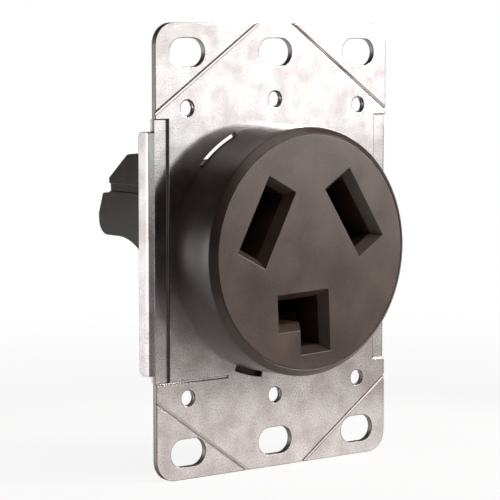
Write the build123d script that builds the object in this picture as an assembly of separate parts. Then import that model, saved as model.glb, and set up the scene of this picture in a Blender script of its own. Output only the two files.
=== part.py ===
from build123d import *
import os
from math import atan2, cos, degrees, hypot, radians, sin

# A flush dryer outlet: a metal mounting strap, a two-part moulded body clamped on it, and the
# contacts, lugs and screws that the body holds. Millimetres, X to the right, Z up. The face looks
# along -Y and the wall lies behind the strap. The origin is on the strap's front, at the body's axis.

# Mounting strap
strap_thickness = 1.3
strap_width = 62.0
strap_height = 95.0
strap_rise = 0.25
strap_corner_radius = 4.5
row_spacing_x = 46.04
box_slot_spacing_z = 83.34
box_slot_length = 9.0
box_slot_height = 5.9
plate_hole_spacing_z = 60.33
middle_hole_spacing_z = 63.5
plate_hole_diameter = 3.5

# Score lines that let the four corners be broken off, and the line that gauges a stripped wire
score_width = 0.8
score_depth = 0.35
top_corner_height = 18.5
top_corner_width = 26.4
bottom_corner_height = 16.75
bottom_corner_width = 23.3
gauge_length = 18.4
gauge_drop = 26.6
gauge_width = 0.5
gauge_depth = 0.2

# Side strips set back from the strap's front, and the flanges folded from them
strip_width = 3.3
strip_step = 0.6
strip_top = 28.0
strip_bottom = -26.5
flange_top = 25.4
flange_bottom = -25.1
flange_overhang = 1.0
flange_reach = 4.8
flange_bend_radius = 1.6
flange_corner_radius = 1.3

# Notches round the strap's opening
top_notch_reach = 0.7
top_notch_angle = 35.5
top_notch_half_width = 12.0
bottom_notch_reach = 1.2
bottom_notch_angle = 15.3
bottom_notch_half_width = 7.7

# Moulded body, which sits in the strap with a slight turn
body_turn = 2.5
body_radius = 26.5
body_draft = 0.3
face_radius = 24.8
face_height = 12.7
rim_depth = 1.2
rim_round = 0.5
front_wall = 8.9
spigot_step = 2.2
fit_gap = 0.05

# How far a cutting shape runs past what it cuts
overrun = 1.0

# Blade slots: the mouths at the face narrow into straight throats
mouth_width = 7.95
mouth_inset = 1.42
mouth_depth = 2.1
hot_slot_length = 17.55
hot_slot_angle = 30.0
hot_slot_x = 11.7
hot_slot_z = 7.35
neutral_slot_top = -8.1
neutral_slot_bottom = -21.35
neutral_slot_reach = 9.7

# Blade contacts, folded from strip, and the spring clips round their jaws
strip_gauge = 0.9
blade_gap = 1.5
jaw_pad_depth = 3.0
jaw_pad_length = 3.0
jaw_mouth = 4.4
jaw_base = 5.2
jaw_depth = 13.3
jaw_clearance = 0.5
hot_jaw_width = 13.2
neutral_leg_jaw_width = 5.6
neutral_arm_jaw_width = 4.5
clip_thickness = 0.6
clip_height = 2.0
clip_bend_radius = 0.36
clip_share = 0.75
jaw_bend_radius = 0.9
well_side_gap = 1.0
jaw_end_gap = 0.4

# Terminals: a lug round each contact's tail, with a plate that a set screw pushes on the wire
terminal_x = 18.6
hot_terminal_z = 8.1
neutral_terminal_z = -20.2
lug_width = 10.0
lug_height = 6.8
lug_wall = 1.5
lug_corner_chamfer = 0.6
lug_front_wall = 1.4
lug_screw_wall = 2.6
lug_start = 14.6
wire_room = 5.4
bridge_height = 6.2
tail_width = 6.6
tail_lift = 1.2
tail_margin = 0.4
plate_thickness = 1.2
plate_margin = 0.4
screw_diameter = 5.6
screw_length = 4.8
screw_slot_width = 1.2
screw_slot_depth = 1.5

# Rear body
base_depth = 12.2
base_radius = 25.6
base_flange = 3.4
base_flange_radius = 28.5
base_side_gap = 0.8
base_flat_top = 19.0
lobe_side = 26.0
lobe_floor_wall = 0.9
lobe_roof_wall = 1.0
lobe_end_wall = 2.0
lobe_corner_radius = 3.0
lobe_brow = 2.0
brow_radius = 0.8
gusset_drop = 2.4
gusset_length = 3.8
gusset_radius = 12.5
shoulder_top = 21.4
shoulder_level = 16.3
shoulder_back = 23.7
shoulder_back_z = 16.0
shoulder_radius = 2.5
shoulder_inner = 19.6
groove_depth = 0.35
groove_height = 1.7
groove_level = 14.0
cavity_gap = 0.2
screw_access_gap = 0.7

# Screws that draw the rear body and the front body together on the strap
body_screw_diameter = 3.4
body_screw_length = 16.0
body_screw_head_diameter = 6.2
body_screw_head_height = 2.2
body_screw_recess = 2.6
body_screw_slot = 0.9
body_screw_top_z = 15.2
body_screw_side_x = 14.8
body_screw_side_z = -12.8

# Depths that follow from the sizes above, measured from the strap's front
parting = strap_thickness
face = -face_height
wall_back = face + front_wall
jaw_tip = wall_back + jaw_clearance
jaw_floor = jaw_tip + jaw_depth
lug_tail = lug_start + lug_front_wall
lug_plate = lug_tail + strip_gauge + wire_room
lug_end = lug_plate + plate_thickness + lug_screw_wall
body_end = lug_end + cavity_gap + lobe_end_wall
base_end = parting + base_depth
spigot_radius = body_radius - spigot_step
well_floor = jaw_floor + cavity_gap
body_screw_seat = base_end - body_screw_recess
body_screw_tip = body_screw_seat - body_screw_length
lobe_half = lobe_side - terminal_x
lobe_inner = terminal_x - lug_width / 2 - cavity_gap - lobe_roof_wall
neutral_arm_z = neutral_slot_top - mouth_width / 2

HOT_SIDES = {"left": -1, "right": 1}
TERMINALS = {
    "left": (-terminal_x, hot_terminal_z),
    "right": (terminal_x, hot_terminal_z),
    "neutral": (0.0, neutral_terminal_z),
}
BODY_SCREWS = {
    "top": (0.0, body_screw_top_z),
    "left": (-body_screw_side_x, body_screw_side_z),
    "right": (body_screw_side_x, body_screw_side_z),
}


def slab(outline, front, back):
    """Extrude an outline drawn as X and Z from its front depth to its back depth."""
    return extrude(Plane.XZ.offset(-back) * outline, amount=back - front)


def across(profile, left, right):
    """Extrude a profile drawn as Y and Z between two places along X."""
    return extrude(Plane.YZ.offset(left) * profile, amount=right - left)


def pin(x, z, radius, front, back):
    """A round bar or bore along Y."""
    return slab(Pos(x, z) * Circle(radius), front, back)


def ribbon(points, radius, thickness):
    """A strip's section: a rounded line of points, thickened evenly to both sides."""
    return trace(FilletPolyline(*points, radius=radius), line_width=thickness)


def mirrored(shape):
    """The shape and its mirror image across the YZ plane."""
    return shape + mirror(shape, about=Plane.YZ)


def turned(shape):
    """Turn a body piece in the strap's opening, anticlockwise as seen from the front."""
    return Rot(0, -body_turn, 0) * shape


def sector(radius_in, radius_out, middle, half_width):
    """A stretch of a ring, given by angles in degrees."""
    ring = Circle(radius_out) - Circle(radius_in)
    far = radius_out / cos(radians(half_width)) + overrun
    side = far * sin(radians(half_width))
    wedge = make_face(Polyline((0, 0), (far * cos(radians(half_width)), side),
                               (far * cos(radians(half_width)), -side), close=True))
    return Rot(0, 0, middle) * (ring & wedge)


# Mounting strap

def score_cut(start, end):
    """A V groove in the strap's front along a straight line, run past both ends."""
    dx, dz = end[0] - start[0], end[1] - start[1]
    length = hypot(dx, dz) + 2 * strap_thickness
    half = score_width / 2
    wedge = make_face(Polyline((-half, 0), (half, 0), (0, score_depth), close=True))
    bar = extrude(Plane.XY * wedge, amount=length / 2, both=True)
    tilt = degrees(atan2(dx, dz))
    return Pos((start[0] + end[0]) / 2, 0, (start[1] + end[1]) / 2) * Rot(0, tilt, 0) * bar


def strap_outline():
    """The blank with its opening, box slots and plate-screw holes."""
    blank = Pos(0, strap_rise) * RectangleRounded(strap_width, strap_height, strap_corner_radius)
    blank -= Circle(spigot_radius + fit_gap)
    notch_in = spigot_radius - overrun
    for side in (-1, 1):
        blank -= sector(notch_in, body_radius + top_notch_reach, 90 + side * top_notch_angle,
                        top_notch_half_width)
        blank -= sector(notch_in, body_radius + bottom_notch_reach, 270 + side * bottom_notch_angle,
                        bottom_notch_half_width)
    slot_flat = box_slot_length - box_slot_height
    for x in (-row_spacing_x / 2, 0, row_spacing_x / 2):
        hole_z = middle_hole_spacing_z / 2 if x == 0 else plate_hole_spacing_z / 2
        for side in (-1, 1):
            blank -= Pos(x, side * box_slot_spacing_z / 2) * SlotCenterToCenter(slot_flat, box_slot_height)
            blank -= Pos(x, side * hole_z) * Circle(plate_hole_diameter / 2)
    return blank


def side_flange():
    """The right side's strip, set back, with the flange that is folded from it."""
    inner = strap_width / 2 - strip_width
    outer = strap_width / 2 + flange_overhang
    bend_in = flange_bend_radius - strap_thickness
    section = Polyline((inner, strip_step), (outer, strip_step), (outer, flange_reach),
                       (outer - strap_thickness, flange_reach),
                       (outer - strap_thickness, strip_step + strap_thickness),
                       (inner, strip_step + strap_thickness), close=True)
    profile = make_face(section)
    corner = profile.vertices().filter_by(lambda v: v.X > outer - 0.01 and v.Y < strip_step + 0.01)
    profile = fillet(corner, flange_bend_radius)
    nook = profile.vertices().filter_by(
        lambda v: abs(v.X - outer + strap_thickness) < 0.01 and v.Y < flange_reach - 0.01)
    profile = fillet(nook, bend_in)
    fold = extrude(Plane.XY.offset(flange_bottom) * profile, amount=flange_top - flange_bottom)
    ends = fold.edges().filter_by(Axis.X).group_by(Axis.Y)[-1]
    fold = fillet(ends, flange_corner_radius)
    strip_middle = (strip_top + strip_bottom) / 2
    strip = Rectangle(strip_width, strip_top - strip_bottom)
    strip = Pos(strap_width / 2 - strip_width / 2, strip_middle) * strip
    return fold + slab(strip, strip_step, strip_step + strap_thickness)


def mounting_strap():
    """The stamped strap, with its score lines, set-back strips and folded side flanges."""
    plate = slab(strap_outline(), 0, strap_thickness)
    inner = strap_width / 2 - strip_width
    strip_middle = (strip_top + strip_bottom) / 2
    step = Pos(inner + strip_width, strip_middle) * Rectangle(2 * strip_width, strip_top - strip_bottom)
    plate -= mirrored(slab(step, -overrun, strip_step))
    plate += mirrored(side_flange())
    top = strap_rise + strap_height / 2
    bottom = strap_rise - strap_height / 2
    side = strap_width / 2
    for hand in (-1, 1):
        plate -= score_cut((hand * side, top - top_corner_height), (hand * (side - top_corner_width), top))
        plate -= score_cut((hand * side, bottom + bottom_corner_height),
                           (hand * (side - bottom_corner_width), bottom))
    gauge = Pos(gauge_length / 2 - side, -gauge_drop) * Rectangle(gauge_length, gauge_width)
    plate -= slab(gauge, -overrun, gauge_depth)
    return plate


# Blade slots and the wells behind them

def place_hot(shape, side):
    """Put a piece drawn upright at the origin on one hot slot's centre line."""
    return Pos(side * hot_slot_x, 0, hot_slot_z) * Rot(0, side * -hot_slot_angle, 0) * shape


def l_outline(margin):
    """The neutral slot's outline, grown by a margin or shrunk by a negative one."""
    leg_width = mouth_width + 2 * margin
    leg_height = neutral_slot_top - neutral_slot_bottom + 2 * margin
    leg = Pos(0, (neutral_slot_top + neutral_slot_bottom) / 2) * Rectangle(leg_width, leg_height)
    arm_length = neutral_slot_reach + mouth_width / 2 + 2 * margin
    arm = Pos(mouth_width / 2 + margin - arm_length / 2, neutral_arm_z) * Rectangle(arm_length, leg_width)
    return leg + arm


def tapered(outline_at):
    """A slot's void: a tapered mouth at the face, then a straight throat through the wall."""
    mouth = loft([Plane.XZ.offset(-face) * outline_at(0),
                  Plane.XZ.offset(-face - mouth_depth) * outline_at(-mouth_inset)], ruled=True)
    throat = slab(outline_at(-mouth_inset), face + mouth_depth, wall_back + overrun)
    return mouth + throat


def hot_slot():
    """The void of one hot slot, drawn upright at the origin."""
    return tapered(lambda margin: Rectangle(mouth_width + 2 * margin, hot_slot_length + 2 * margin))


def neutral_jaw_places():
    """Where the neutral contact's two pairs of jaws sit: leg middle, then arm middle."""
    leg = (0.0, neutral_slot_bottom + mouth_inset + neutral_leg_jaw_width / 2 + jaw_end_gap)
    arm = (-neutral_slot_reach + mouth_inset + neutral_arm_jaw_width / 2 + jaw_end_gap, neutral_arm_z)
    return leg, arm


def well_half_widths(width):
    """Half the width and half the length of the well round a pair of jaws."""
    across_jaws = jaw_mouth / 2 + strip_gauge + well_side_gap / 2
    return across_jaws, width / 2 + well_side_gap


def hot_well():
    """The outline of a hot contact's well, upright at the origin."""
    half, length = well_half_widths(hot_jaw_width)
    return Rectangle(2 * half, 2 * length)


def neutral_well():
    """The outline of the neutral contact's L-shaped well."""
    (leg_x, leg_z), (arm_x, arm_z) = neutral_jaw_places()
    half, leg_length = well_half_widths(neutral_leg_jaw_width)
    arm_length = well_half_widths(neutral_arm_jaw_width)[1]
    low = leg_z - leg_length
    high = arm_z + half
    upright = Pos(leg_x, (low + high) / 2) * Rectangle(2 * half, high - low)
    start = arm_x - arm_length
    end = leg_x + half
    level = Pos((start + end) / 2, arm_z) * Rectangle(end - start, 2 * half)
    return upright + level


# Front body

def front_body():
    """The thick moulded cap: a bevelled drum with a spigot, blade slots, contact wells and screw holes."""
    rim = face + rim_depth
    outline = Polyline((0, face), (face_radius, face), (body_radius - body_draft, rim), (body_radius, 0),
                       (spigot_radius, 0), (spigot_radius, parting), (0, parting), close=True)
    half = make_face(outline)
    half = fillet(half.vertices().sort_by(lambda v: abs(v.Y - rim))[0], rim_round)
    drum = revolve(Plane.XY * half, Axis.Y)
    for side in HOT_SIDES.values():
        drum -= place_hot(hot_slot(), side)
        drum -= place_hot(slab(hot_well(), wall_back, parting + overrun), side)
    drum -= tapered(l_outline)
    drum -= slab(neutral_well(), wall_back, parting + overrun)
    bore = body_screw_diameter / 2 + fit_gap
    for x, z in BODY_SCREWS.values():
        drum -= pin(x, z, bore, body_screw_tip - overrun, parting + overrun)
    return drum


# Contacts

def jaw_section():
    """The folded jaws' section, as width and depth, with the mouth to the front."""
    pad = blade_gap / 2 + strip_gauge / 2
    mouth = jaw_mouth / 2 + strip_gauge / 2
    base = jaw_base / 2
    tip = jaw_tip
    floor = jaw_floor - strip_gauge / 2
    pad_front = tip + jaw_pad_depth
    pad_back = pad_front + jaw_pad_length
    spread = pad_back + (floor - pad_back) / 3
    right = [(mouth, tip), (pad, pad_front), (pad, pad_back), (base, spread), (base, floor)]
    left = [(-x, y) for x, y in reversed(right)]
    return ribbon(right + left, jaw_bend_radius, strip_gauge)


def jaws(width):
    """Two jaws folded from one strip, drawn upright at the origin."""
    return extrude(Plane.XY * jaw_section(), amount=width / 2, both=True)


def clip(width, reach):
    """A spring clip round the jaws' pads, closed at the lower end and open at the upper one."""
    half = blade_gap / 2 + strip_gauge + clip_thickness / 2 + fit_gap
    low = -width / 2 - fit_gap - clip_thickness / 2
    path = [(half, low + reach), (half, low), (-half, low), (-half, low + reach)]
    middle = jaw_tip + jaw_pad_depth + jaw_pad_length / 2
    section = ribbon(path, clip_bend_radius, clip_thickness)
    return slab(section, middle - clip_height / 2, middle + clip_height / 2)


def tail(x, z):
    """The strip that leads from a contact's base over the lug's front wall and down into the lug."""
    half = strip_gauge / 2
    run = z + lug_height / 2 + tail_lift
    low = z - lug_height / 2 + tail_margin
    floor = jaw_floor - half
    path = [(floor, low), (floor, run), (lug_tail + half, run), (lug_tail + half, low)]
    return across(ribbon(path, strip_gauge, strip_gauge), x - tail_width / 2, x + tail_width / 2)


def base_plate(outline):
    """Flat strip in the plane of the jaws' base."""
    return slab(outline, jaw_floor - strip_gauge, jaw_floor)


def hot_contact(side):
    """One hot contact: jaws on the slanted slot, a base plate and the tail to its lug."""
    x, z = side * terminal_x, hot_terminal_z
    contact = place_hot(jaws(hot_jaw_width), side)
    contact += place_hot(base_plate(Rectangle(jaw_base - strip_gauge, hot_jaw_width)), side)
    join = abs(terminal_x - hot_slot_x)
    bridge = Pos(x - side * join / 2, z) * Rectangle(join, bridge_height)
    return contact + base_plate(bridge) + tail(x, z)


def place_neutral(leg_shape, arm_shape):
    """Put one shape on the leg's jaws and the other on the arm's, closed ends outward."""
    leg, arm = neutral_jaw_places()
    return Pos(leg[0], 0, leg[1]) * leg_shape, Pos(arm[0], 0, arm[1]) * Rot(0, 90, 0) * arm_shape


def neutral_contact():
    """The neutral contact: jaws on the slot's leg and on its arm, joined by one base and a tail."""
    leg_jaws, arm_jaws = place_neutral(jaws(neutral_leg_jaw_width), jaws(neutral_arm_jaw_width))
    (leg_x, leg_z), (arm_x, arm_z) = neutral_jaw_places()
    width = jaw_base - strip_gauge
    low = leg_z - neutral_leg_jaw_width / 2
    high = arm_z + width / 2
    upright = Pos(leg_x, (low + high) / 2) * Rectangle(width, high - low)
    start = arm_x - neutral_arm_jaw_width / 2
    level = Pos((start + width / 2) / 2, arm_z) * Rectangle(width / 2 - start, width)
    contact = leg_jaws + arm_jaws + base_plate(upright) + base_plate(level)
    return contact + tail(0, neutral_terminal_z)


# Terminals

def lug(x, z):
    """A box lug: a short tube round the wire's way, with a thick wall that the screw runs in."""
    depth = lug_end - lug_start
    shell = Pos(x, (lug_start + lug_end) / 2) * Rectangle(lug_width, depth)
    shell = chamfer(shell.vertices(), lug_corner_chamfer)
    way = Pos(x, (lug_tail + lug_end - lug_screw_wall) / 2) * Rectangle(
        lug_width - 2 * lug_wall, depth - lug_front_wall - lug_screw_wall)
    tube = extrude(Plane.XY.offset(z - lug_height / 2) * (shell - way), amount=lug_height)
    bore = screw_diameter / 2 + fit_gap
    return tube - pin(x, z, bore, lug_plate, lug_end + overrun)


def pressure_plate(x, z):
    """The plate on the screw's tip, grooved to hold the wire."""
    width = lug_width - 2 * lug_wall - 4 * fit_gap
    groove = plate_thickness / 2
    section = Polyline((-width / 2, 0), (-width / 4, 0), (0, groove), (width / 4, 0), (width / 2, 0),
                       (width / 2, plate_thickness), (-width / 2, plate_thickness), close=True)
    low = z - lug_height / 2 + plate_margin
    plate = extrude(Plane.XY.offset(low) * make_face(section), amount=lug_height - 2 * plate_margin)
    return Pos(x, lug_plate - fit_gap, 0) * plate


def terminal_screw(x, z):
    """A slotted set screw that runs in the lug's thick wall."""
    tip = lug_plate + plate_thickness
    screw = pin(x, z, screw_diameter / 2, tip, tip + screw_length)
    slot = Pos(x, z) * Rectangle(screw_diameter + overrun, screw_slot_width)
    return screw - slab(slot, tip + screw_length - screw_slot_depth, tip + screw_length + overrun)


# Rear body

def cavity_top(z):
    """The height of the room that a tail needs above its lug."""
    return z + lug_height / 2 + tail_lift + strip_gauge / 2 + cavity_gap


def lobe(z, left, right):
    """One terminal's housing, as a profile of depth and height drawn out along X."""
    floor = z - lug_height / 2 - cavity_gap - lobe_floor_wall
    roof = z + lug_height / 2 + cavity_gap + lobe_roof_wall
    rise = z - hot_terminal_z
    brow = body_end - lobe_brow
    outline = Polyline((parting, floor - gusset_drop), (base_end, floor - gusset_drop),
                       (base_end + gusset_length, floor), (body_end, floor), (body_end, z), (brow, roof),
                       (shoulder_back, roof), (shoulder_back, shoulder_back_z + rise),
                       (shoulder_level, shoulder_top + rise), (parting, shoulder_top + rise), close=True)
    profile = make_face(outline)
    for depth, height, radius in ((body_end, floor, lobe_corner_radius),
                                  (base_end + gusset_length, floor, gusset_radius),
                                  (shoulder_level, shoulder_top + rise, shoulder_radius),
                                  (brow, roof, brow_radius)):
        corner = profile.vertices().sort_by(lambda v: hypot(v.X - depth, v.Y - height))[0]
        profile = fillet(corner, radius)
    return across(profile, left, right)


def lug_room(x, z):
    """The room for one lug and its tail, open to the front so that both slide in."""
    width = lug_width + 2 * cavity_gap
    low = z - lug_height / 2 - cavity_gap
    high = z + lug_height / 2 + cavity_gap
    top = cavity_top(z)
    tail_end = lug_tail + strip_gauge + cavity_gap
    profile = Polyline((parting - overrun, low), (lug_end + cavity_gap, low), (lug_end + cavity_gap, high),
                       (tail_end, high), (tail_end, top), (parting - overrun, top), close=True)
    room = across(make_face(profile), x - width / 2, x + width / 2)
    room += pin(x, z, screw_diameter / 2 + screw_access_gap, lug_end, body_end + overrun)
    entry_width = lug_width - 2 * lug_wall
    entry_front = lug_tail + strip_gauge
    entry = Pos(x, (entry_front + lug_plate) / 2) * Rectangle(entry_width, lug_plate - entry_front)
    drop = 2 * lobe_floor_wall
    return room + extrude(Plane.XY.offset(low - drop) * entry, amount=drop + cavity_gap)


def base_outline(radius):
    """A round outline with a flat top, kept clear of the strap's set-back side strips."""
    side = strap_width / 2 - strip_width - base_side_gap
    flat = Pos(0, base_flat_top - radius) * Rectangle(2 * side, 2 * radius)
    return Circle(radius) & flat


def rear_body():
    """The moulded base: a flange on the strap, contact wells in front and three terminal lobes."""
    body = slab(base_outline(base_flange_radius), parting, parting + base_flange)
    body += slab(base_outline(base_radius), parting, base_end)
    body += mirrored(lobe(hot_terminal_z, lobe_inner, lobe_side))
    body += lobe(neutral_terminal_z, -lobe_half, lobe_half)
    channel = Pos(0, base_flat_top + shoulder_top) * Rectangle(2 * shoulder_inner, 2 * shoulder_top)
    body -= slab(channel, parting - overrun, body_end)
    for side in HOT_SIDES.values():
        groove = Pos(side * lobe_side, groove_level) * Rectangle(2 * groove_depth, groove_height)
        body -= slab(groove, parting, body_end)
        body -= place_hot(slab(hot_well(), parting - overrun, well_floor), side)
    body -= slab(neutral_well(), parting - overrun, well_floor)
    for x, z in TERMINALS.values():
        body -= lug_room(x, z)
    for x, z in BODY_SCREWS.values():
        body -= pin(x, z, body_screw_diameter / 2 + fit_gap, parting - overrun, base_end + overrun)
        head = body_screw_head_diameter / 2 + fit_gap
        body -= pin(x, z, head, body_screw_seat, base_end + overrun)
    return body


def body_screw(x, z):
    """A slotted screw that draws the rear body and the front body together."""
    head_end = body_screw_seat + body_screw_head_height
    screw = pin(x, z, body_screw_diameter / 2, body_screw_tip, body_screw_seat)
    head = pin(x, z, body_screw_head_diameter / 2, body_screw_seat, head_end)
    slot = Pos(x, z) * Rectangle(body_screw_head_diameter + overrun, body_screw_slot)
    return screw + head - slab(slot, head_end - body_screw_head_height / 2, head_end + overrun)


def hot_spring(side):
    """The clip round one hot contact's jaws."""
    return place_hot(clip(hot_jaw_width, hot_jaw_width * clip_share), side)


def neutral_springs():
    """The clips round the neutral contact's jaws: the leg's, then the arm's."""
    return place_neutral(clip(neutral_leg_jaw_width, neutral_leg_jaw_width * clip_share),
                         clip(neutral_arm_jaw_width, neutral_arm_jaw_width * clip_share))


def pieces():
    """Every piece by its node name, in its place."""
    leg_spring, arm_spring = neutral_springs()
    body = {
        "front_body": front_body(),
        "rear_body": rear_body(),
        "neutral_contact": neutral_contact(),
        "neutral_leg_spring": leg_spring,
        "neutral_arm_spring": arm_spring,
    }
    for name, side in HOT_SIDES.items():
        body["hot_contact_" + name] = hot_contact(side)
        body["hot_spring_" + name] = hot_spring(side)
    for name, (x, z) in TERMINALS.items():
        body["terminal_lug_" + name] = lug(x, z)
        body["pressure_plate_" + name] = pressure_plate(x, z)
        body["terminal_screw_" + name] = terminal_screw(x, z)
    for name, (x, z) in BODY_SCREWS.items():
        body["body_screw_" + name] = body_screw(x, z)
    placed = {name: turned(shape) for name, shape in body.items()}
    placed["mounting_strap"] = mounting_strap()
    return placed


os.makedirs("parts", exist_ok=True)
for node, shape in pieces().items():
    shape.label = node
    export_step(shape, "parts/" + node + ".step")
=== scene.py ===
"""Looks for a flush dryer outlet: a plated strap, a moulded body, and the metal parts inside it.

Every object is in metres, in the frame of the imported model: X to the right, Z up, the face
towards -Y, and the origin on the strap's front at the middle of its screw slots. The sizes that the
classes hold are in millimetres, apart from the lamps' places and sizes and the floor's half width.
"""

import logging
import math
from dataclasses import dataclass
from enum import Enum

import bmesh
import bpy
from mathutils import Matrix, Vector


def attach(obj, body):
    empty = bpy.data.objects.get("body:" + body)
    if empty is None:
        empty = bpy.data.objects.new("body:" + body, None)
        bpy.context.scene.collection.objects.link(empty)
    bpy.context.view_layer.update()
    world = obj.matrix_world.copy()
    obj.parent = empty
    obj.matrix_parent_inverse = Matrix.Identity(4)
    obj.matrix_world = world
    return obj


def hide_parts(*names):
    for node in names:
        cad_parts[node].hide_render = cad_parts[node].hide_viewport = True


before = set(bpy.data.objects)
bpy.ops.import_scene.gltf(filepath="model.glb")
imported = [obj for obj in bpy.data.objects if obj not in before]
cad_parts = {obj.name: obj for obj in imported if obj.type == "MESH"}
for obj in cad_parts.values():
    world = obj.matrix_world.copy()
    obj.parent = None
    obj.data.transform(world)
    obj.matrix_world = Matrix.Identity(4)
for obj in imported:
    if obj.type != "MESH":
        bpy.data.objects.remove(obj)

log = logging.getLogger("dryer_outlet")
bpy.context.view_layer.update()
MM = 0.001
ROOT = "root"
BODY_TURN = math.radians(2.5)
SHEET = 1.3
CIRCLE = 2 * math.pi


# Small helpers


def mm(*values: float) -> Vector:
    """Turn a point in millimetres into one in metres."""
    return Vector(values) * MM


def on_body(x: float, y: float, z: float) -> Vector:
    """Turn a point of the moulded body, in millimetres, into its place in the strap.

    Args:
        x: Millimetres to the right, before the body is turned.
        y: Millimetres towards the wall.
        z: Millimetres up, before the body is turned.

    Returns:
        The point in metres, turned with the body.
    """
    across, up = math.cos(BODY_TURN), math.sin(BODY_TURN)
    return mm(x * across - z * up, y, x * up + z * across)


def linear(code: str) -> tuple[float, float, float, float]:
    """Turn an sRGB hex colour into linear light.

    Args:
        code: Six hex digits, with or without a leading hash.

    Returns:
        Red, green, blue and an alpha of one.
    """
    digits = code.lstrip("#")
    channels = [int(digits[i : i + 2], 16) / 255 for i in (0, 2, 4)]
    curve = [c / 12.92 if c <= 0.04045 else ((c + 0.055) / 1.055) ** 2.4 for c in channels]
    return curve[0], curve[1], curve[2], 1.0


def add_node(
    tree: bpy.types.NodeTree,
    kind: str,
    settings: dict[str, object] | None = None,
    links: dict[str | int, object] | None = None,
) -> bpy.types.Node:
    """Add a node, set it up and link its inputs.

    Args:
        tree: The node tree to add to.
        kind: The node's type name.
        settings: Attributes of the node by name.
        links: Inputs by name or number, each a socket to link or a plain value to set.

    Returns:
        The new node.
    """
    node = tree.nodes.new(kind)
    for name, value in (settings or {}).items():
        setattr(node, name, value)
    for name, value in (links or {}).items():
        socket = node.inputs[name]
        if isinstance(value, bpy.types.NodeSocket):
            tree.links.new(value, socket)
        else:
            socket.default_value = value
    return node


def calc(tree: bpy.types.NodeTree, operation: str, *values: object) -> bpy.types.NodeSocket:
    """Add a step of arithmetic.

    Args:
        tree: The node tree to add to.
        operation: The Math node's operation.
        *values: Its inputs in order, each a socket to link or a plain number.

    Returns:
        The result.
    """
    return add_node(tree, "ShaderNodeMath", {"operation": operation}, dict(enumerate(values))).outputs[0]


def fade(
    tree: bpy.types.NodeTree,
    value: bpy.types.NodeSocket,
    ends: tuple[float, float],
    results: tuple[object, object] = (0.0, 1.0),
    smooth: bool = False,
) -> bpy.types.NodeSocket:
    """Turn a value that runs between two ends into one that runs between two results.

    Args:
        tree: The node tree to add to.
        value: The value.
        ends: Where the value gives the first result, and where it gives the second.
        results: The two results, each a socket or a plain number.
        smooth: Whether the change eases in and out.

    Returns:
        The result, which never leaves the range of the two.
    """
    (start, end), (low, high) = ends, results
    return add_node(
        tree,
        "ShaderNodeMapRange",
        {"interpolation_type": "SMOOTHSTEP" if smooth else "LINEAR"},
        {"Value": value, "From Min": start, "From Max": end, "To Min": low, "To Max": high},
    ).outputs["Result"]


def mix_colours(
    tree: bpy.types.NodeTree, share: bpy.types.NodeSocket, under: object, over: object
) -> bpy.types.NodeSocket:
    """Mix two colours.

    Args:
        tree: The node tree to add to.
        share: How much of the colour over shows, from 0 to 1.
        under: The colour at a share of 0, a socket or a plain value.
        over: The colour at a share of 1, a socket or a plain value.

    Returns:
        The mixed colour.
    """
    return add_node(
        tree, "ShaderNodeMix", {"data_type": "RGBA"}, {0: share, 6: under, 7: over}
    ).outputs[2]


def mix_numbers(
    tree: bpy.types.NodeTree, share: bpy.types.NodeSocket, under: object, over: object
) -> bpy.types.NodeSocket:
    """Mix two numbers.

    Args:
        tree: The node tree to add to.
        share: How much of the number over shows, from 0 to 1.
        under: The number at a share of 0, a socket or a plain value.
        over: The number at a share of 1, a socket or a plain value.

    Returns:
        The mixed number.
    """
    return add_node(
        tree, "ShaderNodeMix", {"data_type": "FLOAT"}, {0: share, 2: under, 3: over}
    ).outputs[0]


def set_ramp(node: bpy.types.Node, stops: list[tuple[float, str]]) -> None:
    """Write a colour ramp's stops.

    Args:
        node: A colour ramp node.
        stops: Places from 0 to 1, each with its sRGB hex colour.
    """
    ramp = node.color_ramp
    while len(ramp.elements) < len(stops):
        ramp.elements.new(1.0)
    for element, (place, code) in zip(ramp.elements, stops):
        element.position = place
        element.color = linear(code)


# Finishes


@dataclass(frozen=True)
class Finish:
    """What every finish has: a name, and a way to build its material."""

    name: str

    def start(self) -> tuple[bpy.types.Material, bpy.types.NodeTree, bpy.types.Node, bpy.types.NodeSocket]:
        """Make an empty material with its shader, and the object's own coordinates.

        Returns:
            The material, its node tree, its main shader and the object coordinates.
        """
        material = bpy.data.materials.new(self.name)
        material.use_nodes = True
        tree = material.node_tree
        tree.nodes.clear()
        shader = add_node(tree, "ShaderNodeBsdfPrincipled")
        add_node(tree, "ShaderNodeOutputMaterial", links={"Surface": shader.outputs["BSDF"]})
        place = add_node(tree, "ShaderNodeTexCoord").outputs["Object"]
        return material, tree, shader, place

    def rounded_edges(
        self, tree: bpy.types.NodeTree, radius_mm: float
    ) -> tuple[bpy.types.NodeSocket, bpy.types.NodeSocket]:
        """Round the shading of the edges, and find where they are.

        Args:
            tree: The material's node tree.
            radius_mm: The edges' radius in millimetres.

        Returns:
            The rounded normal, and a mask that is 1 along the edges.
        """
        bevel = add_node(tree, "ShaderNodeBevel", {"samples": 8}, {"Radius": radius_mm * MM})
        rounded = bevel.outputs["Normal"]
        plain = add_node(tree, "ShaderNodeNewGeometry").outputs["Normal"]
        turn = add_node(tree, "ShaderNodeVectorMath", {"operation": "DOT_PRODUCT"}, {0: rounded, 1: plain})
        return rounded, fade(tree, turn.outputs["Value"], (0.997, 0.95))

    def build(self) -> bpy.types.Material:
        """Make the material."""
        raise NotImplementedError


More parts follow.
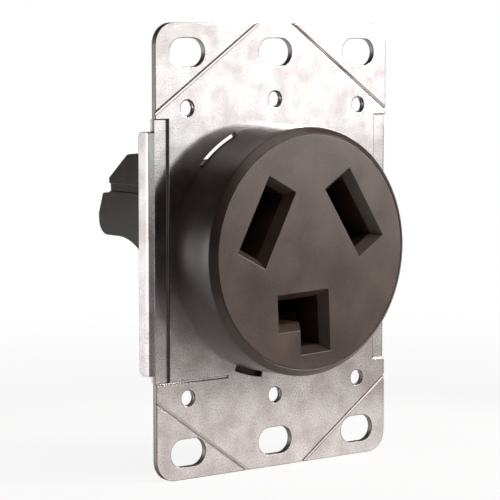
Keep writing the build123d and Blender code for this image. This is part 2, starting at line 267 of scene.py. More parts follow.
@dataclass(frozen=True)
class MouldedPlastic(Finish):
    """Dark brown phenolic moulding compound, compression moulded and tumbled.

    To the eye it is a near-black brown whose lightness is mostly a satin gloss, with a slow mottle from
    the flow in the mould and a fine tumbled grain. A darker line along every edge is painted shade.
    """

    deep: str = "#2f231d"
    pale: str = "#4a3a33"
    # The edge colour is painted shade along the edges
    edge: str = "#120d0b"
    roughness: float = 0.36
    ior: float = 1.62
    grain_mm: float = 0.3
    grain_share: float = 0.6
    grain_relief_mm: float = 0.05
    flow_mm: float = 9.0
    edge_mm: float = 0.16

    def build(self) -> bpy.types.Material:
        """Make the plastic.

        Returns:
            A material whose flow marks vary its colour and gloss, with a fine moulded grain.
        """
        material, tree, shader, place = self.start()
        flow = add_node(
            tree,
            "ShaderNodeTexNoise",
            links={"Vector": place, "Scale": 1 / (self.flow_mm * MM), "Detail": 3.0},
        )
        grain = add_node(
            tree,
            "ShaderNodeTexNoise",
            links={"Vector": place, "Scale": 1 / (self.grain_mm * MM), "Detail": 2.0},
        )
        mottle = calc(tree, "MULTIPLY_ADD", grain.outputs["Fac"], self.grain_share, flow.outputs["Fac"])
        colour = add_node(tree, "ShaderNodeValToRGB", links={"Fac": mottle})
        set_ramp(colour, [(0.6, self.deep), (1.0, self.pale)])
        around = (self.roughness - 0.03, self.roughness + 0.03)
        gloss = fade(tree, flow.outputs["Fac"], (0.3, 0.7), around)
        rounded, along_edge = self.rounded_edges(tree, self.edge_mm)
        bump = add_node(
            tree,
            "ShaderNodeBump",
            links={
                "Height": grain.outputs["Fac"],
                "Strength": 0.2,
                "Distance": self.grain_relief_mm * MM,
                "Normal": rounded,
            },
        )
        # Painted shade: the colour turns to the edge colour along every edge
        skin = mix_colours(tree, along_edge, colour.outputs["Color"], linear(self.edge))
        tree.links.new(skin, shader.inputs["Base Color"])
        tree.links.new(gloss, shader.inputs["Roughness"])
        tree.links.new(bump.outputs["Normal"], shader.inputs["Normal"])
        shader.inputs["IOR"].default_value = self.ior
        return material


@dataclass(frozen=True)
class PlatedSteel(Finish):
    """Cold-rolled steel strip, stamped, then barrel plated with bright zinc.

    To the eye it is a bright, slightly cloudy mirror with a fine speckle. Towards the lower end it is duller
    and more speckled. Every cut wall is a greyer steel, where the tool tore the steel and the zinc is thin,
    partly as painted shade, and a near-black line along every cut edge is painted shade.
    """

    cloud: str = "#d9d6d7"
    clear: str = "#f2f2f3"
    speck: str = "#9b9594"
    # The colour of the cut walls is steel, darkened partly as painted shade
    sheared_steel_and_shade: str = "#a39e9c"
    coined: str = "#dad6d4"
    # The lip colour is the near-black painted shade along every cut edge
    lip: str = "#2c2826"
    roughness: float = 0.12
    dull: float = 0.14
    # Between these heights the dark specks grow towards the bottom
    few_specks_above_mm: float = 25.0
    most_specks_below_mm: float = -20.0
    bright_above_mm: float = 16.0
    dull_below_mm: float = -26.0
    sheared_roughness: float = 0.5
    cloud_mm: float = 5.0
    speck_mm: float = 0.32
    edge_mm: float = 0.27
    stamped_mm: float = 1.4
    bend_x_mm: float = 29.9
    bend_z_mm: float = 25.2

    def shade(
        self, tree: bpy.types.NodeTree, place: bpy.types.NodeSocket
    ) -> tuple[bpy.types.NodeSocket, bpy.types.NodeSocket]:
        """Draw the clouds and the specks.

        Args:
            tree: The material's node tree.
            place: The object coordinates.

        Returns:
            The plate's colour and the specks' height.
        """
        cloud = add_node(
            tree,
            "ShaderNodeTexNoise",
            links={"Vector": place, "Scale": 1 / (self.cloud_mm * MM), "Detail": 5.0},
        )
        specks = add_node(
            tree,
            "ShaderNodeTexNoise",
            links={"Vector": place, "Scale": 1 / (self.speck_mm * MM), "Detail": 2.0},
        )
        colour = add_node(tree, "ShaderNodeValToRGB", links={"Fac": cloud.outputs["Fac"]})
        set_ramp(colour, [(0.35, self.cloud), (0.6, self.clear)])
        height = add_node(tree, "ShaderNodeSeparateXYZ", links={0: place}).outputs["Z"]
        heights = (self.few_specks_above_mm * MM, self.most_specks_below_mm * MM)
        # More dark specks towards the bottom, so the plate is darker there
        speckling_by_height = fade(tree, height, heights, (0.2, 0.5), smooth=True)
        amount = fade(tree, specks.outputs["Fac"], (0.48, 0.66), (0.0, speckling_by_height))
        specked = mix_colours(tree, amount, colour.outputs["Color"], linear(self.speck))
        return specked, specks.outputs["Fac"]

    def worked(
        self, tree: bpy.types.NodeTree, parts: bpy.types.Node, along_edge: bpy.types.NodeSocket
    ) -> tuple[bpy.types.NodeSocket, bpy.types.NodeSocket, bpy.types.NodeSocket]:
        """Find where the press cut or coined the steel, which leaves out the bends of the flanges.

        Args:
            tree: The material's node tree.
            parts: The object coordinates, separated.
            along_edge: A mask that is 1 along the edges.

        Returns:
            The colour of the cut steel with its painted edge shade, the share of it that shows, and the
            share that is a cut wall.
        """
        normal = add_node(tree, "ShaderNodeNewGeometry").outputs["True Normal"]
        facing = add_node(tree, "ShaderNodeSeparateXYZ", links={0: normal})
        level = calc(tree, "ABSOLUTE", facing.outputs["Y"])
        tilted = fade(tree, level, (0.96, 0.86))
        wall = fade(tree, level, (0.5, 0.3))
        steel = mix_colours(tree, wall, linear(self.coined), linear(self.sheared_steel_and_shade))
        # Painted shade: every edge turns to the lip colour
        bare_steel_and_edge_shade = mix_colours(tree, along_edge, steel, linear(self.lip))
        worked_or_edge_shaded = calc(tree, "MAXIMUM", tilted, along_edge)
        sheet_back = ((self.stamped_mm + 0.1) * MM, (self.stamped_mm - 0.1) * MM)
        cut = fade(tree, parts.outputs["Y"], sheet_back, (0.0, worked_or_edge_shaded))
        out = calc(tree, "ABSOLUTE", parts.outputs["X"])
        up = calc(tree, "ABSOLUTE", parts.outputs["Z"])
        beyond = calc(tree, "GREATER_THAN", out, self.bend_x_mm * MM)
        within = calc(tree, "LESS_THAN", up, self.bend_z_mm * MM)
        shown = fade(tree, calc(tree, "MULTIPLY", beyond, within), (0.0, 1.0), (cut, 0.0))
        return bare_steel_and_edge_shade, shown, wall

    def build(self) -> bpy.types.Material:
        """Make the plate.

        Returns:
            A metal whose clouds and specks vary its colour and relief, darker on its cut walls, partly as
            painted shade, and with painted shade along its edges.
        """
        material, tree, shader, place = self.start()
        plate, relief = self.shade(tree, place)
        parts = add_node(tree, "ShaderNodeSeparateXYZ", links={0: place})
        heights = (self.bright_above_mm * MM, self.dull_below_mm * MM)
        finishes = (self.roughness, self.roughness + self.dull)
        gloss = fade(tree, parts.outputs["Z"], heights, finishes, smooth=True)
        rounded, along_edge = self.rounded_edges(tree, self.edge_mm)
        bump = add_node(
            tree,
            "ShaderNodeBump",
            links={"Height": relief, "Strength": 0.25, "Distance": 0.03 * MM, "Normal": rounded},
        )
        bare_steel_and_edge_shade, shown, wall = self.worked(tree, parts, along_edge)
        tree.links.new(mix_colours(tree, shown, plate, bare_steel_and_edge_shade), shader.inputs["Base Color"])
        sheen = mix_numbers(tree, wall, gloss, self.sheared_roughness)
        tree.links.new(sheen, shader.inputs["Roughness"])
        tree.links.new(bump.outputs["Normal"], shader.inputs["Normal"])
        shader.inputs["Metallic"].default_value = 1.0
        return material


@dataclass(frozen=True)
class StripMetal(Finish):
    """Rolled or drawn stock: brass strip, tempered spring steel, tin-plated aluminium, screw steel.

    To the eye each has its own metal colour under fine lines along the way that it was rolled or drawn,
    drawn here at 0.4 mm, coarser than the real ones, because those would not show.
    """

    shade: str = "#a8834a"
    bright: str = "#c9a669"
    roughness: float = 0.35
    rolling_mm: float = 0.4

    def build(self) -> bpy.types.Material:
        """Make the strip.

        Returns:
            A metal with fine rolling lines along the depth of the outlet.
        """
        material, tree, shader, place = self.start()
        drawn = add_node(tree, "ShaderNodeMapping", links={"Vector": place, "Scale": (1.0, 0.08, 1.0)})
        lines = add_node(
            tree,
            "ShaderNodeTexNoise",
            links={"Vector": drawn.outputs["Vector"], "Scale": 1 / (self.rolling_mm * MM), "Detail": 3.0},
        )
        colour = add_node(tree, "ShaderNodeValToRGB", links={"Fac": lines.outputs["Fac"]})
        set_ramp(colour, [(0.3, self.shade), (0.7, self.bright)])
        finishes = (self.roughness + 0.08, self.roughness - 0.05)
        gloss = fade(tree, lines.outputs["Fac"], (0.3, 0.7), finishes)
        tree.links.new(colour.outputs["Color"], shader.inputs["Base Color"])
        tree.links.new(gloss, shader.inputs["Roughness"])
        shader.inputs["Metallic"].default_value = 1.0
        return material


class Skin(Enum):
    """Each finish of the outlet, with the record's material slot that it belongs to."""

    FRONT_MOULDING = ("moulded_plastic", MouldedPlastic("tumbled_phenolic_moulding"))
    # The rear moulding's third colour is painted shade along its edges
    REAR_MOULDING = (
        "moulded_plastic",
        MouldedPlastic("plain_phenolic_moulding", "#38261d", "#463126", "#120d0b", roughness=0.24, ior=1.48),
    )
    ZINC = ("zinc_plate", PlatedSteel("zinc_plated_steel"))
    # The brass colours are darkened to stand in for the shade deep inside the slots
    BRASS = ("contact_brass", StripMetal("brass_strip_darkened_as_shade", "#5f4a2a", "#7f673c", 0.45))
    SPRING = ("spring_steel", StripMetal("tempered_spring_steel", "#5c5a58", "#7a7876", 0.38))
    TIN = ("tinned_aluminium", StripMetal("tin_plated_aluminium", "#b4b2ae", "#d2d0cc", 0.34))
    SCREW = ("screw_steel", StripMetal("zinc_plated_screw_steel", "#8e8a86", "#b4b0ab", 0.32))

    @property
    def slot(self) -> str:
        """The record's material slot."""
        return self.value[0]

    @property
    def finish(self) -> Finish:
        """The finish that builds the material."""
        return self.value[1]


# What repeats: threaded screws, and the threads of tapped holes


def open_group(name: str, sizes: list[str]) -> tuple[bpy.types.NodeTree, bpy.types.Node]:
    """Start a geometry tree with its named inputs.

    Args:
        name: The tree's name.
        sizes: The names of its size inputs, in metres or plain numbers.

    Returns:
        The tree and its input node.
    """
    tree = bpy.data.node_groups.new(name, "GeometryNodeTree")
    tree.interface.new_socket("Places", in_out="INPUT", socket_type="NodeSocketGeometry")
    for size in sizes:
        tree.interface.new_socket(size, in_out="INPUT", socket_type="NodeSocketFloat")
    tree.interface.new_socket("Finish", in_out="INPUT", socket_type="NodeSocketMaterial")
    tree.interface.new_socket("Geometry", in_out="OUTPUT", socket_type="NodeSocketGeometry")
    return tree, add_node(tree, "NodeGroupInput")


def close_group(
    tree: bpy.types.NodeTree, given: bpy.types.Node, shape: bpy.types.NodeSocket, spin: float
) -> None:
    """Set a shape on every place, facing the wall, and end the tree.

    Args:
        tree: The tree to end.
        given: Its input node.
        shape: The shape, built along its own Z about its middle.
        spin: How far each copy may be turned about its axis, in radians.
    """
    chance = add_node(
        tree, "FunctionNodeRandomValue", {"data_type": "FLOAT"}, {"Min": 0.0, "Max": spin, "Seed": 11}
    )
    turn = add_node(tree, "ShaderNodeCombineXYZ", links={0: -math.pi / 2, 1: chance.outputs[1]})
    copies = add_node(
        tree,
        "GeometryNodeInstanceOnPoints",
        links={"Points": given.outputs["Places"], "Instance": shape, "Rotation": turn.outputs[0]},
    )
    real = add_node(tree, "GeometryNodeRealizeInstances", links={0: copies.outputs[0]})
    dressed = add_node(
        tree,
        "GeometryNodeSetMaterial",
        links={"Geometry": real.outputs[0], "Material": given.outputs["Finish"]},
    )
    add_node(tree, "NodeGroupOutput", links={0: dressed.outputs[0]})


def narrowed(
    tree: bpy.types.NodeTree, mesh: bpy.types.NodeSocket, share: bpy.types.NodeSocket
) -> bpy.types.NodeSocket:
    """Pull each point of a mesh in towards the Z axis.

    Args:
        tree: The screw's tree.
        mesh: The mesh.
        share: How much of a point's distance from the axis is kept.

    Returns:
        The narrowed mesh.
    """
    place = add_node(tree, "GeometryNodeInputPosition").outputs[0]
    scale = add_node(tree, "ShaderNodeCombineXYZ", links={0: share, 1: share, 2: 1.0}).outputs[0]
    moved = add_node(tree, "ShaderNodeVectorMath", {"operation": "MULTIPLY"}, {0: place, 1: scale})
    links = {"Geometry": mesh, "Position": moved.outputs[0]}
    return add_node(tree, "GeometryNodeSetPosition", links=links).outputs[0]


def threaded_shank(tree: bpy.types.NodeTree, size: bpy.types.NodeOutputs) -> bpy.types.NodeSocket:
    """Draw a rod along Z about its middle, with a thread cut into it.

    Args:
        tree: The screw's tree.
        size: The screw's sizes.

    Returns:
        The shank's mesh.
    """
    sides, rings_per_turn = 25, 6.3
    turns = calc(tree, "DIVIDE", size["Shank Length"], size["Pitch"])
    rod = add_node(
        tree,
        "GeometryNodeMeshCylinder",
        {"fill_type": "NGON"},
        {
            "Vertices": sides,
            "Side Segments": calc(tree, "MULTIPLY", turns, rings_per_turn),
            "Radius": size["Shank Radius"],
            "Depth": size["Shank Length"],
        },
    )
    place = add_node(tree, "GeometryNodeInputPosition").outputs[0]
    parts = add_node(tree, "ShaderNodeSeparateXYZ", links={0: place}).outputs
    share = calc(tree, "DIVIDE", calc(tree, "ARCTAN2", parts["Y"], parts["X"]), CIRCLE)
    phase = calc(tree, "SUBTRACT", calc(tree, "DIVIDE", parts["Z"], size["Pitch"]), share)
    # The flank runs evenly from crest to root and back within each turn
    flank = calc(tree, "PINGPONG", phase, 0.5)
    depth = calc(tree, "DIVIDE", size["Thread Depth"], size["Shank Radius"])
    kept = calc(tree, "MULTIPLY_ADD", flank, calc(tree, "MULTIPLY", depth, -2.0), 1.0)
    return narrowed(tree, rod.outputs["Mesh"], kept)


def crowned_head(tree: bpy.types.NodeTree, size: bpy.types.NodeOutputs) -> bpy.types.NodeSocket:
    """Draw a head on the shank's upper end, its top rounded.

    Args:
        tree: The screw's tree.
        size: The screw's sizes.

    Returns:
        The head's mesh, sunk a little into the shank.
    """
    sides, rings, crown_power, crown_drop, sunk_half = 44, 10, 4.0, -2.2, 0.497
    disc = add_node(
        tree,
        "GeometryNodeMeshCylinder",
        {"fill_type": "NGON"},
        {
            "Vertices": sides,
            "Side Segments": rings,
            "Radius": size["Head Radius"],
            "Depth": size["Head Height"],
        },
    )
    place = add_node(tree, "GeometryNodeInputPosition").outputs[0]
    height = add_node(tree, "ShaderNodeSeparateXYZ", links={0: place}).outputs["Z"]
    lift = calc(tree, "MAXIMUM", calc(tree, "DIVIDE", height, size["Head Height"]), 0.0)
    kept = calc(tree, "MULTIPLY_ADD", calc(tree, "POWER", lift, crown_power), crown_drop, 1.0)
    both = calc(tree, "ADD", size["Shank Length"], size["Head Height"])
    seat = add_node(tree, "ShaderNodeCombineXYZ", links={2: calc(tree, "MULTIPLY", both, sunk_half)})
    links = {"Geometry": narrowed(tree, disc.outputs["Mesh"], kept), "Translation": seat.outputs[0]}
    return add_node(tree, "GeometryNodeTransform", links=links).outputs[0]


def slot_cutter(tree: bpy.types.NodeTree, size: bpy.types.NodeOutputs) -> bpy.types.NodeSocket:
    """Draw the block that cuts the driver's slot, its middle on the screw's top.

    Args:
        tree: The screw's tree.
        size: The screw's sizes.

    Returns:
        The block's mesh.
    """
    reach = calc(tree, "MAXIMUM", size["Shank Radius"], size["Head Radius"])
    length = calc(tree, "MULTIPLY", reach, 3.0)
    depth = calc(tree, "MULTIPLY", size["Slot Depth"], 2.0)
    block_size = add_node(tree, "ShaderNodeCombineXYZ", links={0: length, 1: size["Slot Width"], 2: depth})
    block = add_node(tree, "GeometryNodeMeshCube", links={"Size": block_size.outputs[0]})
    top = calc(tree, "MULTIPLY_ADD", size["Shank Length"], 0.5, size["Head Height"])
    seat = add_node(tree, "ShaderNodeCombineXYZ", links={2: top})
    links = {"Geometry": block.outputs[0], "Translation": seat.outputs[0]}
    return add_node(tree, "GeometryNodeTransform", links=links).outputs[0]


def screw_tree() -> bpy.types.NodeTree:
    """Build the tree of a slotted screw: a threaded shank, a head if it has one, and the slot.

    Returns:
        A tree whose inputs are the screw's sizes. The head's height is 0 on a headless screw.
    """
    shank_sizes = ["Shank Radius", "Shank Length", "Pitch", "Thread Depth"]
    head_sizes = ["Head Radius", "Head Height", "Slot Width", "Slot Depth"]
    tree, given = open_group("slotted_screw", shank_sizes + head_sizes)
    size = given.outputs
    has_head = add_node(
        tree,
        "FunctionNodeCompare",
        {"data_type": "FLOAT", "operation": "GREATER_THAN"},
        {0: size["Head Height"], 1: 0.0},
    )
    head = add_node(
        tree,
        "GeometryNodeSwitch",
        {"input_type": "GEOMETRY"},
        {"Switch": has_head.outputs[0], "True": crowned_head(tree, size)},
    )
    solid = add_node(
        tree,
        "GeometryNodeMeshBoolean",
        {"operation": "UNION", "solver": "EXACT"},
        {"Mesh 2": threaded_shank(tree, size)},
    )
    # This socket takes several meshes, so the head is linked to it beside the shank
    tree.links.new(head.outputs[0], solid.inputs["Mesh 2"])
    slotted = add_node(
        tree,
        "GeometryNodeMeshBoolean",
        {"operation": "DIFFERENCE", "solver": "EXACT"},
        {"Mesh 1": solid.outputs[0], "Mesh 2": slot_cutter(tree, size)},
    )
    close_group(tree, given, slotted.outputs[0], math.pi)
    return tree


def tapped_hole_tree() -> bpy.types.NodeTree:
    """Build the tree of a tapped hole's thread: one ridge wound inside the bore.

    Returns:
        A tree whose inputs are the hole's radius and depth, and the thread's pitch and ridge.
    """
    tree, given = open_group("tapped_hole", ["Bore Radius", "Thread Length", "Pitch", "Ridge"])
    size = given.outputs
    helix = add_node(
        tree,
        "GeometryNodeCurveSpiral",
        links={
            "Resolution": 28,
            "Rotations": calc(tree, "DIVIDE", size["Thread Length"], size["Pitch"]),
            "Start Radius": size["Bore Radius"],
            "End Radius": size["Bore Radius"],
            "Height": size["Thread Length"],
        },
    )
    section = add_node(
        tree,
        "GeometryNodeCurvePrimitiveCircle",
        {"mode": "RADIUS"},
        {"Resolution": 6, "Radius": size["Ridge"]},
    )
    ridge = add_node(
        tree,
        "GeometryNodeCurveToMesh",
        links={"Curve": helix.outputs[0], "Profile Curve": section.outputs[0], "Fill Caps": True},
    )
    back = calc(tree, "MULTIPLY", size["Thread Length"], -0.5)
    middle = add_node(tree, "ShaderNodeCombineXYZ", links={2: back})
    centred = add_node(
        tree, "GeometryNodeTransform", links={"Geometry": ridge.outputs[0], "Translation": middle.outputs[0]}
    )
    close_group(tree, given, centred.outputs[0], 0.0)
    return tree


# The outlet's sub-assemblies


@dataclass
class SubAssembly:
    """What every sub-assembly has: the materials, and ways to dress solids and to add pieces."""

    materials: dict[Skin, bpy.types.Material]

    def dress(self, names: list[str], skin: Skin) -> None:
        """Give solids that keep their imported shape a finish.

        Args:
            names: The nodes to dress.
            skin: Their finish.
        """
        for name in names:
            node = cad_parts[name]
            node.data.materials.clear()
            node.data.materials.append(self.materials[skin])
            log.info("dressed %s in %s", name, skin.finish.name)

    def add(self, piece: bpy.types.Object, skin: Skin, replaced: list[str]) -> None:
        """Carry a new piece with the outlet.

        Args:
            piece: The piece, with its place in its mesh.
            skin: Its finish; not used.
            replaced: The nodes that it stands for, if any.
        """
        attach(piece, ROOT)
        if replaced:
            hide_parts(*replaced)
        log.info("made %s, %d faces", piece.name, len(piece.data.polygons))

    def grow(
        self,
        name: str,
        tree: bpy.types.NodeTree,
        places: list[Vector],
        sizes: dict[str, float],
        skin: Skin,
        sharp_deg: float = 30.0,
    ) -> bpy.types.Object:
        """Run a geometry tree on a few places and keep its result as a plain mesh.

        Args:
            name: The piece's name.
            tree: The geometry tree.
            places: Where the copies sit, in metres.
            sizes: The tree's sizes by name, in millimetres.
            skin: The piece's finish.
            sharp_deg: The angle in degrees from which an edge stays sharp.

        Returns:
            The piece.
        """
        points = bpy.data.meshes.new(name + "_places")
        points.from_pydata([tuple(place) for place in places], [], [])
        piece = bpy.data.objects.new(name, points)
        bpy.context.scene.collection.objects.link(piece)
        maker = piece.modifiers.new(tree.name, "NODES")
        maker.node_group = tree
        for item in tree.interface.items_tree:
            if item.in_out == "INPUT" and item.name in sizes:
                maker[item.identifier] = sizes[item.name] * MM
            elif item.in_out == "INPUT" and item.name == "Finish":
                maker[item.identifier] = self.materials[skin]
        mesh = bpy.data.meshes.new_from_object(piece.evaluated_get(bpy.context.evaluated_depsgraph_get()))
        piece.modifiers.clear()
        piece.data = mesh
        mesh.name = name
        bpy.data.meshes.remove(points)
        mesh.polygons.foreach_set("use_smooth", [True] * len(mesh.polygons))
        mesh.set_sharp_from_angle(angle=math.radians(sharp_deg))
        return piece


@dataclass
class MountingStrap(SubAssembly):
    """The stamped and plated strap, with the threads of its six tapped plate-screw holes."""

    hole_radius: float = 1.75
    hole_x: float = 23.02
    hole_z: float = 30.165
    middle_z: float = 31.75
    pitch: float = 0.794
    ridge: float = 0.2

    def build(self) -> None:
        """Dress the strap and wind the threads in its holes."""
        self.dress(["mounting_strap"], Skin.ZINC)
        corners = [(x, z) for x in (-self.hole_x, self.hole_x) for z in (-self.hole_z, self.hole_z)]
        places = [mm(x, SHEET / 2, z) for x, z in corners + [(0.0, -self.middle_z), (0.0, self.middle_z)]]
        sizes = {
            "Bore Radius": self.hole_radius,
            "Thread Length": SHEET - 2 * self.ridge - 0.04,
            "Pitch": self.pitch,
            "Ridge": self.ridge,
        }
        threads = self.grow("plate_hole_threads", tapped_hole_tree(), places, sizes, Skin.ZINC, 60.0)
        self.add(threads, Skin.ZINC, [])


@dataclass
class FrontBody(SubAssembly):
    """The moulded cap with the blade slots, with the hairline groove round the edge of its face."""

    face_y: float = -12.7
    groove_radius: float = 24.72
    groove_half_width: float = 0.16
    groove_depth: float = 0.2
    overrun: float = 0.1
    weld: float = 0.001
    sharp_deg: float = 25.0
    round_steps: int = 180

    def groove_cutter(self) -> bpy.types.Object:
        """Make the ring that cuts the groove.

        Returns:
            A closed ring with a V section, its point at the groove's foot.
        """
        lip = self.face_y - self.overrun
        wide = self.groove_half_width * (1 + self.overrun / self.groove_depth)
        section = [
            (self.groove_radius - wide, lip),
            (self.groove_radius + wide, lip),
            (self.groove_radius, self.face_y + self.groove_depth),
        ]
        points, faces = [], []
        for step in range(self.round_steps):
            angle = CIRCLE * step / self.round_steps
            points += [mm(r * math.cos(angle), y, r * math.sin(angle)) for r, y in section]
            here, there = 3 * step, 3 * ((step + 1) % self.round_steps)
            faces += [(here + i, here + (i + 1) % 3, there + (i + 1) % 3, there + i) for i in range(3)]
        mesh = bpy.data.meshes.new("groove_cutter")
        mesh.from_pydata([tuple(point) for point in points], [], faces)
        shape = bmesh.new()
        shape.from_mesh(mesh)
        bmesh.ops.recalc_face_normals(shape, faces=shape.faces)
        shape.to_mesh(mesh)
        shape.free()
        cutter = bpy.data.objects.new("groove_cutter", mesh)
        bpy.context.scene.collection.objects.link(cutter)
        return cutter

    def build(self) -> None:
        """Cut the groove into a copy of the moulding, which then stands for it."""
        mesh = bpy.data.meshes.new("front_moulding")
        shape = bmesh.new()
        shape.from_mesh(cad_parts["front_body"].data)
        bmesh.ops.remove_doubles(shape, verts=shape.verts, dist=self.weld * MM)
        bmesh.ops.dissolve_degenerate(shape, edges=shape.edges, dist=self.weld * MM)
        shape.to_mesh(mesh)
        shape.free()
        # The solid's stored normals don't fit the merged mesh, so its shading is worked out anew
        for stale in ("custom_normal", "sharp_edge", "sharp_face"):
            if stale in mesh.attributes:
                mesh.attributes.remove(mesh.attributes[stale])
        piece = bpy.data.objects.new("front_moulding", mesh)
        bpy.context.scene.collection.objects.link(piece)
        cutter = self.groove_cutter()
        cut = piece.modifiers.new("groove", "BOOLEAN")
        cut.operation, cut.solver, cut.object = "DIFFERENCE", "EXACT", cutter
        grooved = bpy.data.meshes.new_from_object(piece.evaluated_get(bpy.context.evaluated_depsgraph_get()))
        piece.modifiers.clear()
        piece.data = grooved
        bpy.data.objects.remove(cutter)
        grooved.name = "front_moulding"
        grooved.polygons.foreach_set("use_smooth", [True] * len(grooved.polygons))
        grooved.set_sharp_from_angle(angle=math.radians(self.sharp_deg))
        grooved.materials.clear()
        grooved.materials.append(self.materials[Skin.FRONT_MOULDING])
        self.add(piece, Skin.FRONT_MOULDING, ["front_body"])


@dataclass
class RearBody(SubAssembly):
    """The moulding behind the strap, and the screws that draw the two mouldings together."""

    screw_places: tuple[tuple[float, float], ...] = ((0.0, 15.2), (-14.8, -12.8), (14.8, -12.8))
    shank_radius: float = 1.7
    shank_front: float = -5.1
    head_front: float = 10.9
    head_back: float = 13.1
    head_radius: float = 3.1
    pitch: float = 0.794
    thread_depth: float = 0.3
    slot_width: float = 0.9
    slot_depth: float = 1.1

    def build(self) -> None:
        """Dress the moulding and make its screws."""
        self.dress(["rear_body"], Skin.REAR_MOULDING)
        middle = (self.shank_front + self.head_front) / 2
        places = [on_body(x, middle, z) for x, z in self.screw_places]
        sizes = {
            "Shank Radius": self.shank_radius,
            "Shank Length": self.head_front - self.shank_front,
            "Pitch": self.pitch,
            "Thread Depth": self.thread_depth,
            "Head Radius": self.head_radius,
            "Head Height": self.head_back - self.head_front,
            "Slot Width": self.slot_width,
            "Slot Depth": self.slot_depth,
        }
        screws = self.grow("body_screws", screw_tree(), places, sizes, Skin.SCREW)
        self.add(screws, Skin.SCREW, ["body_screw_top", "body_screw_left", "body_screw_right"])


@dataclass
class Contacts(SubAssembly):
    """The folded brass contacts and the springs that close their jaws."""

    def build(self) -> None:
        """Dress the contacts and the springs."""
        self.dress(["hot_contact_left", "hot_contact_right", "neutral_contact"], Skin.BRASS)
        springs = ["hot_spring_left", "hot_spring_right", "neutral_leg_spring", "neutral_arm_spring"]
        self.dress(springs, Skin.SPRING)


@dataclass
class Terminals(SubAssembly):
    """The three box lugs, their pressure plates and their slotted set screws."""

    screw_places: tuple[tuple[float, float], ...] = ((-18.6, 8.1), (18.6, 8.1), (0.0, -20.2))
    screw_radius: float = 2.8
    screw_front: float = 23.5
    screw_back: float = 28.3
    pitch: float = 0.9
    thread_depth: float = 0.35
    slot_width: float = 1.2
    slot_depth: float = 1.5

    def build(self) -> None:
        """Dress the lugs and plates and make the set screws."""
        sides = ("left", "right", "neutral")
        self.dress([f"terminal_lug_{side}" for side in sides], Skin.TIN)
        self.dress([f"pressure_plate_{side}" for side in sides], Skin.ZINC)
        middle = (self.screw_front + self.screw_back) / 2
        places = [on_body(x, middle, z) for x, z in self.screw_places]
        sizes = {
            "Shank Radius": self.screw_radius,
            "Shank Length": self.screw_back - self.screw_front,
            "Pitch": self.pitch,
            "Thread Depth": self.thread_depth,
            "Head Radius": self.screw_radius,
            "Head Height": 0.0,
            "Slot Width": self.slot_width,
            "Slot Depth": self.slot_depth,
        }
        screws = self.grow("terminal_screws", screw_tree(), places, sizes, Skin.SCREW)
        self.add(screws, Skin.SCREW, [f"terminal_screw_{side}" for side in sides])


# Studio


@dataclass(frozen=True)
class Lamp:
    """A flat soft lamp: its place, aim, width and height in metres, and its radiance.

    A radiance of 1 shows as white.
    """

    name: str
    place: tuple[float, float, float]
    aim: tuple[float, float, float]
    size: tuple[float, float]
    radiance: float
    lights_matt: bool = True


LAMPS = (
    Lamp("key_softbox", (0.41, -0.37, 0.17), (0.0, 0.0, 0.0), (0.2, 0.18), 31.0),
    Lamp("high_softbox", (0.22, -0.44, 0.87), (0.0, 0.0, 0.0), (1.0, 0.7), 1.5),
    Lamp("front_softbox", (0.98, -1.15, 0.27), (0.0, 0.0, 0.1), (0.95, 0.66), 0.68),
    Lamp("rear_card", (-0.199, 0.098, -0.005), (-0.026, -0.006, 0.0), (0.1, 0.07), 4.4, False),
)


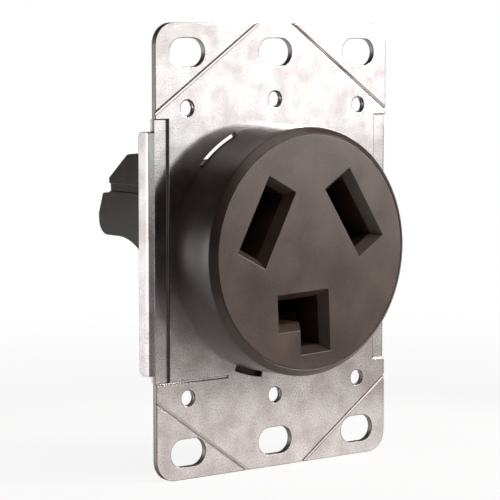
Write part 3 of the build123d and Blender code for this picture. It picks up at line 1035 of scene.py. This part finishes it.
@dataclass
class Studio:
    """A pale floor, soft lamps, and the camera at the photograph's place."""

    lamp_colour: str = "#fff7f3"
    paper_near: str = "#fffcfb"
    paper_far: str = "#736c6a"
    room_light: float = 0.07
    floor_half: float = 40.0
    floor_z: float = -47.3
    camera_place: tuple[float, float, float] = (-274.98, -349.43, 42.15)
    yaw: float = -37.555
    pitch: float = -5.081
    roll: float = 0.020
    lens: float = 150.36
    shift: tuple[float, float] = (-0.0034, -0.0289)

    def camera(self) -> bpy.types.Object:
        """Make the camera.

        Returns:
            The camera object, set as the scene's own.
        """
        data = bpy.data.cameras.new("camera")
        data.sensor_width = 36.0
        data.lens = self.lens
        data.shift_x, data.shift_y = self.shift
        data.clip_start, data.clip_end = 0.01, 200.0
        camera = bpy.data.objects.new("camera", data)
        turn = (
            Matrix.Rotation(math.radians(self.yaw), 3, "Z")
            @ Matrix.Rotation(math.radians(self.pitch), 3, "X")
            @ Matrix.Rotation(math.radians(self.roll), 3, "Y")
        )
        look = Matrix((turn.col[0], turn.col[2], -turn.col[1])).transposed()
        camera.matrix_world = Matrix.Translation(mm(*self.camera_place)) @ look.to_4x4()
        bpy.context.scene.collection.objects.link(camera)
        bpy.context.scene.camera = camera
        return camera

    def hang(self, lamp: Lamp) -> bpy.types.Object:
        """Hang a lamp.

        Args:
            lamp: What the lamp is like.

        Returns:
            The lamp's object, which the camera doesn't see.
        """
        data = bpy.data.lights.new(lamp.name, "AREA")
        data.shape = "RECTANGLE"
        data.size, data.size_y = lamp.size
        data.energy = math.pi * lamp.size[0] * lamp.size[1] * lamp.radiance
        data.color = linear(self.lamp_colour)[:3]
        hung = bpy.data.objects.new(lamp.name, data)
        hung.visible_camera = False
        hung.visible_diffuse = lamp.lights_matt
        turn = (Vector(lamp.aim) - Vector(lamp.place)).normalized().to_track_quat("-Z", "Y")
        hung.matrix_world = Matrix.Translation(Vector(lamp.place)) @ turn.to_matrix().to_4x4()
        bpy.context.scene.collection.objects.link(hung)
        return hung

    def floor(self) -> bpy.types.Object:
        """Lay the floor.

        Returns:
            The floor, which shows white and keeps a faint shadow.
        """
        mesh = bpy.data.meshes.new("floor")
        half, z = self.floor_half, self.floor_z * MM
        corners = [(-half, -half, z), (half, -half, z), (half, half, z), (-half, half, z)]
        mesh.from_pydata(corners, [], [(0, 1, 2, 3)])
        floor = bpy.data.objects.new("floor", mesh)
        bpy.context.scene.collection.objects.link(floor)
        material = bpy.data.materials.new("matt_white_paper")
        material.use_nodes = True
        tree = material.node_tree
        tree.nodes.clear()
        path = add_node(tree, "ShaderNodeLightPath")
        place = add_node(tree, "ShaderNodeTexCoord").outputs["Object"]
        reach = add_node(tree, "ShaderNodeVectorMath", {"operation": "LENGTH"}, {0: place}).outputs["Value"]
        depth = add_node(tree, "ShaderNodeSeparateXYZ", links={0: place}).outputs["Y"]
        # Each fade runs over a reach or depth in metres, from one share to another
        fades = {
            "paper": (reach, (0.08, 0.125), (0.0, 1.0)),
            "clear": (reach, (0.05, 0.3), (0.9, 1.0)),
            "behind": (depth, (-0.01, 0.06), (0.05, 1.0)),
            "far": (reach, (0.4, 1.6), (0.0, 0.72)),
            "sheet_end": (reach, (0.45, 0.5), (1.0, 0.2)),
            "before": (depth, (0.1, -0.1), (0.0, 1.0)),
        }
        shares = {}
        for name, (value, ends, results) in fades.items():
            shares[name] = fade(tree, value, ends, results, smooth=True)
        paper = mix_colours(tree, shares["paper"], linear(self.paper_near), linear(self.paper_far))
        matt = add_node(tree, "ShaderNodeBsdfDiffuse", links={"Color": paper})
        seen = calc(tree, "MULTIPLY", path.outputs["Is Camera Ray"], shares["clear"])
        sheet = calc(tree, "MULTIPLY", shares["behind"], shares["sheet_end"])
        front = calc(tree, "MULTIPLY", shares["before"], shares["far"])
        open_floor = calc(tree, "MAXIMUM", sheet, front)
        rays = calc(tree, "MAXIMUM", path.outputs["Is Glossy Ray"], path.outputs["Is Transmission Ray"])
        share = calc(tree, "MAXIMUM", seen, calc(tree, "MULTIPLY", rays, open_floor))
        glow = add_node(tree, "ShaderNodeEmission", links={"Color": (1.0, 1.0, 1.0, 1.0), "Strength": 1.0})
        mixed = add_node(
            tree,
            "ShaderNodeMixShader",
            links={0: share, 1: matt.outputs["BSDF"], 2: glow.outputs["Emission"]},
        )
        add_node(tree, "ShaderNodeOutputMaterial", links={"Surface": mixed.outputs["Shader"]})
        mesh.materials.append(material)
        return floor

    def surroundings(self) -> None:
        """Set the world: white where it is seen, and a dim room in reflections."""
        world = bpy.data.worlds.new("studio")
        world.use_nodes = True
        tree = world.node_tree
        tree.nodes.clear()
        path = add_node(tree, "ShaderNodeLightPath")
        sky = add_node(tree, "ShaderNodeTexCoord").outputs["Generated"]
        parts = add_node(tree, "ShaderNodeSeparateXYZ", links={0: sky})
        # The room is darker overhead and in front, and paler low down at the back
        low_down = fade(tree, parts.outputs["Z"], (0.2, 0.1), (0.03, 1.0), smooth=True)
        at_back = fade(tree, parts.outputs["Y"], (-0.1, 0.3), (0.05, 0.25), smooth=True)
        room = calc(tree, "MINIMUM", low_down, at_back)
        rays = calc(tree, "MAXIMUM", path.outputs["Is Glossy Ray"], path.outputs["Is Transmission Ray"])
        unseen = mix_numbers(tree, rays, self.room_light, room)
        strength = mix_numbers(tree, path.outputs["Is Camera Ray"], unseen, 1.0)
        shade = add_node(
            tree, "ShaderNodeBackground", links={"Color": (1.0, 1.0, 1.0, 1.0), "Strength": strength}
        )
        add_node(tree, "ShaderNodeOutputWorld", links={"Surface": shade.outputs["Background"]})
        bpy.context.scene.world = world

    def build(self) -> None:
        """Set up the whole studio."""
        bpy.context.scene.view_settings.view_transform = "Standard"
        self.surroundings()
        self.floor()
        for lamp in LAMPS:
            self.hang(lamp)
        self.camera()
        log.info("studio is set")


def main() -> None:
    """Build the looks in order."""
    logging.basicConfig(level=logging.INFO, format="%(name)s: %(message)s")
    materials = {skin: skin.finish.build() for skin in Skin}
    MountingStrap(materials).build()
    FrontBody(materials).build()
    RearBody(materials).build()
    Contacts(materials).build()
    Terminals(materials).build()
    Studio().build()


if __name__ == "__main__":
    main()
